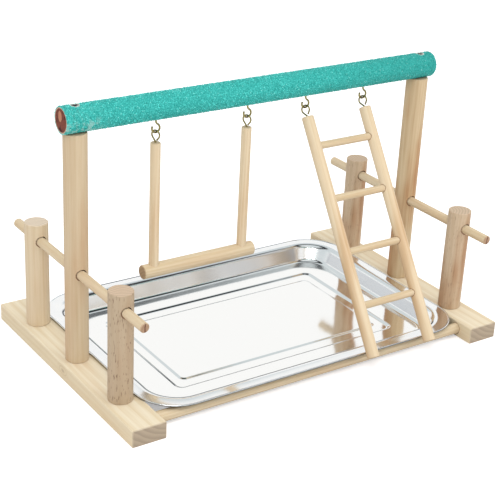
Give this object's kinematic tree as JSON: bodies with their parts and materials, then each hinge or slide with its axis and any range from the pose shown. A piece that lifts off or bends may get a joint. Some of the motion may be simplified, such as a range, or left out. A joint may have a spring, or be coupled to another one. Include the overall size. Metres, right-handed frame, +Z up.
{
  "type": "parrot play stand",
  "caption": "Tabletop wooden play stand with a gritted top perch, side perches, a hanging swing, a leaning ladder and a lift-out metal tray.",
  "frame": {"origin": "middle of the whole stand's footprint on the table, with the leaning ladder's feet included", "axes": "+X along the top perch from the swing's end to the ladder's end, +Y to the back (the ladder leans to the front, -Y), +Z up"},
  "size_m": [0.46, 0.3022, 0.2892],
  "materials": {
    "pine_board": "sanded bare pine with straight grain",
    "post_wood": "sanded bare hardwood",
    "pale_dowel": "smooth bare dowel",
    "perch_core": "bare reddish dowel",
    "grit_coat": "coarse teal sand grit",
    "screw_steel": "zinc-plated",
    "brass_wire": "brass-plated wire",
    "tray_steel": "mirror-polished sheet steel"
  },
  "bodies": {
    "stand": {"base_board_left": "pine_board", "base_board_right": "pine_board", "crossbar_front": "pale_dowel", "crossbar_rear": "pale_dowel", "tall_post_left": "post_wood", "tall_post_right": "post_wood", "short_post_front_left": "post_wood", "short_post_rear_left": "post_wood", "short_post_front_right": "post_wood", "short_post_rear_right": "post_wood", "side_perch_left": "pale_dowel", "side_perch_right": "pale_dowel", "top_perch_dowel": "perch_core", "top_perch_grit": "grit_coat", "perch_screws": "screw_steel", "base_screws": "screw_steel", "swing_hook_left": "brass_wire", "swing_hook_right": "brass_wire", "ladder_hook_left": "brass_wire", "ladder_hook_right": "brass_wire"},
    "tray": {"tray": "tray_steel"},
    "swing": {"swing_bar": "pale_dowel", "swing_upright_left": "pale_dowel", "swing_upright_right": "pale_dowel", "swing_eye_left": "brass_wire", "swing_eye_right": "brass_wire"},
    "ladder": {"ladder_rail_left": "pale_dowel", "ladder_rail_right": "pale_dowel", "ladder_rung_1": "pale_dowel", "ladder_rung_2": "pale_dowel", "ladder_rung_3": "pale_dowel", "ladder_rung_4": "pale_dowel", "ladder_eye_left": "brass_wire", "ladder_eye_right": "brass_wire"}
  },
  "joints": [
    {"name": "swing_hang", "type": "hinge", "parent": "stand", "child": "swing", "pos_m": [-0.0695, 0.00113, 0.24838], "axis": [1, 0, 0], "range_deg": [-50, 50]},
    {"name": "ladder_hang", "type": "hinge", "parent": "stand", "child": "ladder", "pos_m": [0.0964, 0.00113, 0.24838], "axis": [-1, 0, 0], "range_deg": [0, 60]},
    {"name": "tray_lift", "type": "slide", "parent": "stand", "child": "tray", "axis": [0, 0.5391, 0.8423], "range_m": [0, 0.02]}
  ]
}
